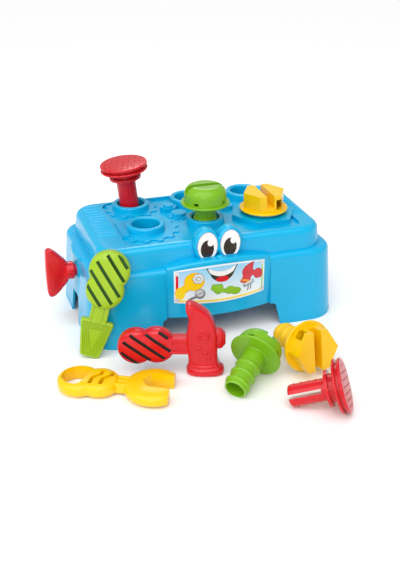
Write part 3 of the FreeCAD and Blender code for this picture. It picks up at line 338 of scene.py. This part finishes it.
def make_label_art():
    """The label's pictures: tools, screws and the smile."""
    edge = LABEL_HALF - LABEL_MARGIN
    shapes = [(WHITE, 1, band(-LABEL_HALF + 0.2, LABEL_HALF - 0.2, 0.2, 0.2)),
              (SKY, 2, band(-edge, edge, LABEL_MARGIN, 2.0)),
              (INK_RED, 3, band(-edge, -edge + 3.2, 4, 3, 4)),
              (INK_GREEN, 3, band(edge - 1.8, edge, 4, 3, 4)),
              (INK_YELLOW, 3, low_strip(-edge + 3, edge, LABEL_MARGIN, 2.4))]
    # wrench holding a nut
    shapes += [(INK_ORANGE, 4, bar(-56, 69, -40, 81, 5.4)), (INK_YELLOW, 5, bar(-56, 69.6, -40, 81.4, 4.6)),
               (INK_YELLOW, 4, disc(-55, 68, 6.6, 9)), (INK_ORANGE, 4, disc(-36.5, 84, 13.2, 13)),
               (INK_YELLOW, 5, disc(-36.5, 84.4, 12.4, 12.3)),
               (BLACK, 6, disc(-31.5, 88, 8.3, 8, 6)), (PALE_STEEL, 7, disc(-31.5, 88, 7.7, 7.4, 6)),
               (STEEL, 8, disc(-31.5, 88, 3.8, 3.7)), (PALE_STEEL, 9, disc(-31.2, 87.6, 2.2, 2.1))]
    # hammer
    head = [(46, 100.4), (39, 99), (33, 95.6), (29.4, 90), (30.4, 84), (28.6, 79.6), (27, 75.6), (33.4, 73),
            (40, 72.4), (40.6, 77), (43, 82), (44.4, 89), (43.6, 95)]
    outline = [(36 + (x - 36) * 1.07, 87 + (z - 87) * 1.05) for x, z in head]
    shapes += [(INK_DARK_RED, 4, curve_through(outline)),
               (INK_DARK_RED, 4, bar(43, 86, 50, 83.6, 4)), (INK_RED, 6, bar(43, 86, 50, 83.6, 3.3)),
               (INK_DARK_RED, 4, disc(52, 83, 6, 7.4)), (INK_RED, 5, disc(52, 83, 5.2, 6.6)),
               (INK_DARK_RED, 4, disc(56, 82, 3.6, 6.6)), (INK_RED, 5, disc(56.2, 82, 3, 5.9)),
               (INK_RED, 5, curve_through(head)), (INK_DARK_RED, 7, disc(36.6, 87.4, 2.6)),
               (INK_RED, 8, disc(36.8, 87.6, 1.9)),
               (INK_ORANGE, 7, [(28.6, 76.2), (39, 73.2), (39.6, 76), (29.6, 79.2)])]
    # screwdriver
    shapes += [(INK_DARK_GREEN, 4, [(-15, 71), (-13, 77.6), (1, 77), (3, 70), (-2, 63), (-6, 62.6)]),
               (INK_GREEN, 5, [(-14.3, 71), (-12.4, 77), (0.6, 76.2), (2.3, 70), (-2.4, 63.8), (-5.8, 63.4)]),
               (INK_GREEN, 4, bar(2, 67, 8, 66, 3.2)), (INK_DARK_GREEN, 4, disc(12, 66.5, 7.6, 5.7)),
               (INK_GREEN, 5, disc(12, 66.7, 7, 5.2)), (INK_DARK_GREEN, 4, disc(20, 64, 7.6, 5.2)),
               (INK_GREEN, 5, disc(20, 64.2, 7, 4.6))]
    # a steel screw and a steel nail
    shapes += [(STEEL, 4, bar(-43, 58.6, -31, 63.5, 1.7)), (STEEL, 5, disc(-29, 66, 7, 7.2)),
               (PALE_STEEL, 6, disc(-29.4, 67, 5.2, 4.8)), (STEEL, 7, bar(-34, 64.5, -24.6, 68.5, 0.6)),
               (STEEL, 4, bar(37.5, 61.5, 38.5, 68, 1)), (STEEL, 4, bar(41.6, 62.4, 42, 69, 1)),
               (STEEL, 5, bar(33.5, 69.5, 44, 73, 3)), (PALE_STEEL, 6, bar(34, 70.6, 43.4, 74, 1.5))]
    # the smile
    shapes += [(BLACK, 4, [(-21.5, 101.5)] + arc(1, 98, 17.5, 200, 340, 20, 17.5) + [(22.6, 103)]
                + arc(0.5, 130, 34, 307, 233, 12, 34.5)[1:-1]),
               (WHITE, 5, [(-19, 100.2)] + arc(0.5, 118, 28, 230, 310, 14, 29.5)[1:-1] + [(20.4, 101.5)]
                + arc(0.5, 130, 33, 305, 235, 12, 34.6)[1:-1]),
               (INK_RED, 5, disc(1, 84.2, 9.2, 4.2, 28))]
    for x in (-edge + 1.7, edge - 1.2):
        shapes += screw_mark(x, label_edge(x, False) - 4.4) + screw_mark(x, label_edge(x, True) + 4.2)
    return print_shapes("label_art", shapes, bow_y)


def cut_below(points, level):
    """Keeps the part of an outline above a level."""
    kept = [(x, max(z, level)) for x, z in points]
    return [p for k, p in enumerate(kept) if p != kept[k - 1]]


def eye_plate_y(x):
    """The eye plate is flat."""
    return -EYE_FACE


def make_eye_art(side, way):
    """One eye: a thin dark rim, the white, the pupil and its glint."""
    middle = way * EYE_X
    shapes = [(BLACK, 1, cut_below(disc(middle, EYE_Z, EYE_WIDE - 0.1, EYE_HIGH - 0.1, 56), EYE_RIM)),
              (WHITE, 2, cut_below(disc(middle, EYE_Z, EYE_WIDE - 0.5, EYE_HIGH - 0.5, 56), EYE_RIM + 0.1)),
              (BLACK, 3, cut_below(disc(middle - 0.4, EYE_Z - 4.2, 9, 12.6, 44), EYE_RIM + 0.2)),
              (WHITE, 4, disc(middle + 4, EYE_Z + 4.6, 4.2, 4.8, 24))]
    return print_shapes("eye_art_" + side, shapes, eye_plate_y, step=30.0)


label_art = make_label_art()
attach(label_art, "bench")
for side, way in (("left", -1), ("right", 1)):
    eye = make_eye_art(side, way)
    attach(eye, "bench")


# ---------------------------------------------------------------- moulded pieces
def slab(points, low, high, corner=0.0, rim=1.5):
    """A closed plate with this outline, its upright edges rounded by corner and its rims by rim."""
    form = bmesh.new()
    face = form.faces.new([form.verts.new((x, y, low)) for x, y in points])
    raised = bmesh.ops.extrude_face_region(form, geom=[face])["geom"]
    bmesh.ops.translate(form, verts=[v for v in raised if isinstance(v, bmesh.types.BMVert)],
                        vec=(0, 0, high - low))
    bmesh.ops.recalc_face_normals(form, faces=form.faces)
    for lying, radius, segments in ((False, corner, 5), (True, rim, 3)):
        chosen = [e for e in form.edges if (abs(e.verts[0].co.z - e.verts[1].co.z) < 0.01) == lying]
        if radius:
            bmesh.ops.bevel(form, geom=chosen, offset=radius, offset_type="OFFSET", segments=segments,
                            profile=0.5, affect="EDGES", clamp_overlap=True, material=-1)
    return form


def lathe(profile, x=0.0, y=0.0, steps=72):
    """A closed turned form about Z; the profile gives radius and height from pole to pole."""
    form = bmesh.new()
    verts = [form.verts.new((radius, 0, z)) for radius, z in profile]
    edges = [form.edges.new(pair) for pair in zip(verts, verts[1:])]
    bmesh.ops.spin(form, geom=verts + edges, axis=(0, 0, 1), cent=(0, 0, 0), steps=steps,
                   angle=2 * math.pi, use_merge=True)
    bmesh.ops.remove_doubles(form, verts=form.verts, dist=0.002)
    bmesh.ops.recalc_face_normals(form, faces=form.faces)
    bmesh.ops.translate(form, verts=form.verts, vec=(x, y, 0))
    return form


def cushion(x, y, radius, half, power=4.5, count=26):
    """A puffed disc: flat in the middle, rounding off evenly towards its edge."""
    bend = 2 / power
    angles = [math.pi * k / count for k in range(count + 1)]
    profile = [(radius * abs(math.sin(a)) ** bend,
                half * math.copysign(abs(math.cos(a)) ** bend, math.cos(a))) for a in angles]
    return lathe(profile, x, y)


def ring(x, y, z, radius, thick, count=10):
    """A raised ring lying on a face at height z."""
    form = bmesh.new()
    around = [2 * math.pi * k / count for k in range(count)]
    verts = [form.verts.new((radius + thick * math.cos(a), 0, z + thick * math.sin(a))) for a in around]
    edges = [form.edges.new((verts[k], verts[(k + 1) % count])) for k in range(count)]
    bmesh.ops.spin(form, geom=verts + edges, axis=(0, 0, 1), cent=(0, 0, 0), steps=40,
                   angle=2 * math.pi, use_merge=True)
    bmesh.ops.remove_doubles(form, verts=form.verts, dist=0.002)
    bmesh.ops.recalc_face_normals(form, faces=form.faces)
    bmesh.ops.translate(form, verts=form.verts, vec=(x, y, 0))
    return form


def as_object(name, form, material):
    """Turns a form into an object of one material."""
    data = bpy.data.meshes.new(name)
    form.to_mesh(data)
    form.free()
    data.materials.append(material)
    thing = bpy.data.objects.new(name, data)
    bpy.context.scene.collection.objects.link(thing)
    return thing


def weld(name, material, adds, cuts=(), cut_wall_shade=None, frame_at=Matrix(), soften=0.5, details=()):
    """Joins forms into one skin, works the details on it in turn, cuts it out, and puts it in its place.

    A detail is a way, UNION or DIFFERENCE, and a form. The cuts leave their walls in the material given for
    cut walls, if any: painted shade that darkens the slots in place of the shadow inside them.
    """
    whole = as_object(name, adds[0], material)
    helpers = [(as_object("add", form, material), "UNION") for form in adds[1:]]
    helpers += [(as_object("detail", form, material), way) for way, form in details]
    # the cut walls take the painted slot shade when one is given
    helpers += [(as_object("cut", form, cut_wall_shade or material), "DIFFERENCE") for form in cuts]
    for helper, way in helpers:
        step = whole.modifiers.new("join", "BOOLEAN")
        step.operation = way
        step.solver = "EXACT"
        step.material_mode = "TRANSFER"
        step.object = helper
    edge = whole.modifiers.new("edge", "BEVEL")
    edge.width = soften
    edge.segments = 2
    edge.limit_method = "ANGLE"
    edge.angle_limit = math.radians(50)
    ready = whole.evaluated_get(bpy.context.evaluated_depsgraph_get())
    data = bpy.data.meshes.new_from_object(ready)
    whole.modifiers.clear()
    whole.data = data
    for helper, way in helpers:
        bpy.data.objects.remove(helper)
    data.name = name
    data.transform(frame_at)
    data.polygons.foreach_set("use_smooth", [True] * len(data.polygons))
    data.set_sharp_from_angle(angle=math.radians(38))
    return whole


def tool_place(spot, x_axis, y_axis):
    """The matrix from a tool's own millimetres to the frame; its lowest point is set later."""
    z_axis = x_axis.cross(y_axis)
    turn = Matrix((x_axis, y_axis, z_axis)).transposed().to_4x4()
    return Matrix.Scale(MM, 4) @ Matrix.Translation(Vector((*spot, 0)) + BENCH) @ turn


def stand_in(piece, body, *nodes):
    """Lets a piece take the place of its CAD pieces, resting at the same height."""
    floor = min(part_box(node)[0][2] for node in nodes)
    lowest = min(vert.co.z for vert in piece.data.vertices)
    piece.data.transform(Matrix.Translation((0, 0, floor - lowest)))
    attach(piece, body)
    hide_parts(*nodes)


def both_sides(near, far):
    """The low and high level of a slab on the front of a tool, then of the one on its back."""
    return [sorted((way * near, way * far)) for way in (1, -1)]


def stripes(spots, x, y, turn, wide=4.3, floor=6.9):
    """Cutters for the slots of a handle, on its front and its back; a spot is a place and a length."""
    made = []
    for low, high in both_sides(floor, 16):
        made += [slab(rectangle(x + a, y + b, long, wide, turn), low, high, rim=0) for a, b, long in spots]
    return made


def driver_blade(inset):
    """The blade's tapering outline, drawn in by an inset."""
    low, high = BLADE_LOW - inset, BLADE_HIGH - inset * 1.1
    return [(-low, inset), (low, inset), (high, BLADE_LONG - inset), (-high, BLADE_LONG - inset)]


def make_screwdriver():
    """The screwdriver: two bulbs, a ribbed shank and a blade whose face steps down in rings."""
    low_bulb, high_bulb = 91.5, 118.0
    low_radius, high_radius = 24.4, 26
    shank_wide, shank_half, blade_half = 23.2, 4.3, 4.8
    adds = [cushion(0, low_bulb, low_radius, GRIP_HALF), cushion(0, high_bulb, high_radius, GRIP_HALF),
            slab(rectangle(0, 68, shank_wide, 56), -shank_half, shank_half, 1.5, 1.2)]
    for x, wide, half in ((-9.6, 2.4, 5.2), (0, 11, 4.9), (9.6, 2.4, 5.2)):
        adds.append(slab(rectangle(x, 62, wide, 44), -half, half, 0, 0.5))
    adds.append(slab(driver_blade(0), -blade_half, blade_half, 4, 1.8))
    details = []
    for k in range(4):
        inset, round_off = 2.9 + 2.5 * k, 3.2 - 0.5 * k
        for sunk, step in zip(both_sides(3.7, 9), both_sides(2.5, 4.7)):
            details.append(("DIFFERENCE", slab(driver_blade(inset), *sunk, round_off, 0)))
            details.append(("UNION", slab(driver_blade(inset + 1.2), *step, round_off - 0.4, 0)))
    spots = [(-12.2, -21.5, 33), (-5.6, -8.5, 52), (0.9, 3.8, 54), (6.9, 19.5, 40), (13.8, 30, 21)]
    along = DRIVER_LEAN.normalized()
    across = along.cross((FRONT - along * FRONT.dot(along)).normalized())
    # the slot walls get a painted dark green shade
    piece = weld("screwdriver_moulding", LIME, adds, stripes(spots, 0, (low_bulb + high_bulb) / 2, -46.5),
                 GREEN_SLOT_SHADE, tool_place(DRIVER_SPOT, across, along), 0.4, details)
    stand_in(piece, "screwdriver", "screwdriver_front", "screwdriver_back")


def upright_oval(half_x, half_z, low, high, rim):
    """An oval plate turned to lie flat on the floor while the tool stands up."""
    form = slab(oval(half_x, half_z), low, high, 0, rim)
    bmesh.ops.rotate(form, verts=form.verts, cent=(0, 0, 0), matrix=Matrix.Rotation(math.pi / 2, 3, "X"))
    bmesh.ops.scale(form, verts=form.verts, vec=(1, -1, 1))
    bmesh.ops.recalc_face_normals(form, faces=form.faces)
    return form


def make_hammer():
    """The hammer, standing on its face: a claw head, two bulbs for a handle, and a stub at the back."""
    head = curve_through([(-18.5, 8), (-20.5, 22), (-22.6, 38), (-23.4, 52), (-21.4, 66), (-20.2, 78),
                          (-23.4, 88), (-23.6, 95.6), (-18.4, 98), (-8, 93.6), (4, 84), (11, 71), (13.6, 56),
                          (14.6, 38), (15, 22), (16.4, 8)])
    face = curve_through([(-14.5, 18), (-17.6, 38), (-18.4, 52), (-16.4, 66), (-15.2, 78), (-17.4, 87),
                          (-16, 91.6), (-9, 87), (0, 79), (6.4, 68), (8.8, 55), (10, 38), (10.4, 18)])
    bulb_radius, face_level = 23.2, GRIP_HALF - FACE_DEPTH
    adds = [slab(head, -GRIP_HALF, GRIP_HALF, 0, 3.4),
            cushion(-85, 39, bulb_radius, GRIP_HALF), cushion(-60, 40.5, bulb_radius, GRIP_HALF),
            slab(rectangle(-36, 41, 52, 22.6), -7.2, 7.2, 1.5, 1.4)]
    for y, wide, half in ((32.4, 2.6, 8.1), (41, 9, 7.9), (49.6, 2.6, 8.1)):
        adds.append(slab(rectangle(-30, y, 36, wide), -half, half, 0, 0.6))
    adds += [slab(rectangle(15, 49.5, 15, 24), -7.4, 7.4, 5, 2.6),
             slab(rectangle(20.5, 49.5, 8.4, 17), -6.6, 6.6, 3.4, 2.6),
             upright_oval(23.4, 13, 0, 11.4, 3.6), upright_oval(18.6, 11.2, 9.5, 15.5, 2.4)]
    details = [("DIFFERENCE", slab(face, low, high, 0, 0)) for low, high in both_sides(face_level, THROUGH)]
    # each raised ring: its place, radius and thickness
    rings = [(-2.5, 57, 7.2, 1.1), (-2.5, 57, 3.2, 1.0),
             (-7, 38, 2.3, 0.9), (0, 32, 2, 0.9), (4, 25, 2.3, 0.9)]
    for way in (1, -1):
        details += [("UNION", ring(x, y, way * face_level, radius, thick)) for x, y, radius, thick in rings]
    spots = [(-8, -13.5, 27), (1, -3.2, 42), (14, 2.5, 53), (26.5, 8.8, 40), (34, 18.5, 14)]
    # the slot walls get a painted near-black shade
    piece = weld("hammer_moulding", RED, adds, stripes(spots, -85, 39, -37.6), SLOT_SHADE,
                 tool_place(HAMMER_SPOT, UP.cross(FRONT), UP), 0.3, details)
    stand_in(piece, "hammer", "hammer_front", "hammer_back")


def make_wrench():
    """The wrench: a ring and a slotted bulb for a handle, a ribbed neck, and an open jaw."""
    adds = [cushion(0, 0, 27, GRIP_HALF, 3.6), cushion(25, 0, 24.5, GRIP_HALF, 3.6),
            cushion(92, 0, 36, GRIP_HALF, 3.2), slab(rectangle(55, 0, 44, 20), -5.4, 5.4, 0, 1.4)]
    for y in (-8.4, 0, 8.4):
        adds.append(slab(rectangle(54, y, 40, 3.2), -6.7, 6.7, 0, 0.8))
    hole = [(12.6, 14.4), (3, 20.6), (-11, 18.4), (-20.6, 8.5), (-21, -7), (-11.5, -18.2), (-1, -20.8),
            (4.6, -18)]
    tip, deep = 113.5, 78.0
    mouth = [(tip + 9, -15.2), (86, -13), (deep, 0), (86, 13), (tip + 9, 15.2)]
    slot = [(-8.2, -16.5), (-3.2, -16.5), (-1.4, -4.6), (6.6, 3.6), (8.2, 15.5), (3.4, 15.5), (2, 5.6),
            (-6, -2.6)]
    cuts = [slab(hole, -THROUGH, THROUGH, 2.4, 0), slab(mouth, -THROUGH, THROUGH, 1.6, 0),
            slab(rectangle(tip + 20, 0, 40, 120), -THROUGH, THROUGH, 0, 0)]
    for x in (22.0, 35.0):
        cuts.append(slab([(x + a, b) for a, b in slot], -THROUGH, THROUGH, 1.2, 0))
    cos, sin = math.cos(WRENCH_TURN), math.sin(WRENCH_TURN)
    piece = weld("wrench_moulding", YELLOW, adds, cuts, None,
                 tool_place(WRENCH_SPOT, Vector((cos, sin, 0)), Vector((-sin, cos, 0))), 0.8)
    stand_in(piece, "wrench", "wrench_front", "wrench_back")


def make_knob():
    """The wing knob of the vise, with its hub; its own z runs from the front to the back of the bench."""
    upper = [(-34.4, 0), (-34, 20), (-33, 31), (-28.5, 34), (-22, 31), (-13, 21.5), (-5.5, 12.5), (-3.5, 0)]
    lower = [(x, -z) for x, z in reversed(upper[1:-1])]
    wing_half = 7
    wing = slab(curve_through(upper + lower, 4), -wing_half, wing_half, 0, 2.6)
    hub = lathe([(0, 12), (8, 12), (8, 3), (11, 3), (12, 2), (12, -7), (9, -9), (0, -9)])
    bmesh.ops.rotate(hub, verts=hub.verts, cent=(0, 0, 0), matrix=Matrix.Rotation(math.pi / 2, 3, "Y"))
    to_bench = (Matrix.Scale(MM, 4) @ Matrix.Translation(KNOB_SPOT + BENCH)
                @ Matrix.Rotation(math.pi / 2, 4, "X"))
    piece = weld("vise_knob_moulding", RED, [wing, hub], frame_at=to_bench)
    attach(piece, "knob")
    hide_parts("vise_knob")


make_screwdriver()
make_hammer()
make_wrench()
make_knob()


# ---------------------------------------------------------------- finishes of the carried-over pieces
FINISH = {"bench_blue": BLUE, "label_print": WHITE, "eye_print": WHITE, "red_plastic": RED,
          "green_plastic": GREEN, "lime_plastic": LIME, "yellow_plastic": YELLOW,
          "washer_steel": ZINC, "screw_steel": ZINC}
for part in frame["record"]["subparts"]:
    node = frame["nodes"][part["node"]]
    node.data.materials.clear()
    node.data.materials.append(FINISH[part["material_slot"]])


# ---------------------------------------------------------------- floor, light and camera
def make_floor():
    """A wide pale floor."""
    bpy.ops.mesh.primitive_plane_add(size=60.0)
    floor = bpy.context.object
    floor.name = "studio_floor"
    material, nodes, links, shader = new_material("pale_floor")
    shader.inputs["Base Color"].default_value = (0.97, 0.97, 0.97, 1)
    shader.inputs["Roughness"].default_value = 0.55
    shader.inputs["Specular IOR Level"].default_value = 0.25
    floor.data.materials.append(material)


def area_light(name, power, size, spot, target):
    """A soft square light at a spot, in metres, aimed at a target."""
    data = bpy.data.lights.new(name, "AREA")
    data.energy = power
    data.size = size
    lamp = bpy.data.objects.new(name, data)
    bpy.context.scene.collection.objects.link(lamp)
    lamp.location = spot
    lamp.rotation_euler = (Vector(target) - Vector(spot)).to_track_quat("-Z", "Y").to_euler()


def make_studio():
    """White surroundings, an even daylight from above, and three softboxes."""
    world = bpy.context.scene.world or bpy.data.worlds.new("studio")
    bpy.context.scene.world = world
    world.use_nodes = True
    sky = world.node_tree.nodes["Background"]
    sky.inputs["Color"].default_value = (1, 1, 1, 1)
    sky.inputs["Strength"].default_value = 0.5
    sun = bpy.data.lights.new("even_daylight", "SUN")
    sun.energy = 2.1
    sun.angle = math.radians(70)
    lamp = bpy.data.objects.new("even_daylight", sun)
    bpy.context.scene.collection.objects.link(lamp)
    lamp.rotation_euler = Euler((math.radians(28), math.radians(-16), 0))
    area_light("left_softbox", 2.6, 0.35, (-1.2, -0.2, 0.9), (0, 0, 0.1))
    area_light("back_softbox", 3.2, 0.5, (0.3, 1.1, 1.0), (0, 0.1, 0.1))
    area_light("front_softbox", 4.5, 0.4, (-0.7, -1.5, 0.6), (0, 0, 0.08))
    bpy.context.scene.view_settings.view_transform = "Standard"


def make_camera():
    """A plain camera without depth of field."""
    data = bpy.data.cameras.new("camera")
    data.sensor_width = 36.0
    data.lens = LENS
    data.clip_end = 20.0
    camera = bpy.data.objects.new("camera", data)
    bpy.context.scene.collection.objects.link(camera)
    camera.location = (EYE_POINT + BENCH) * MM
    camera.rotation_euler = Euler((math.radians(90 - VIEW_PITCH), 0, math.radians(-VIEW_YAW)))
    bpy.context.scene.camera = camera


make_floor()
make_studio()
make_camera()
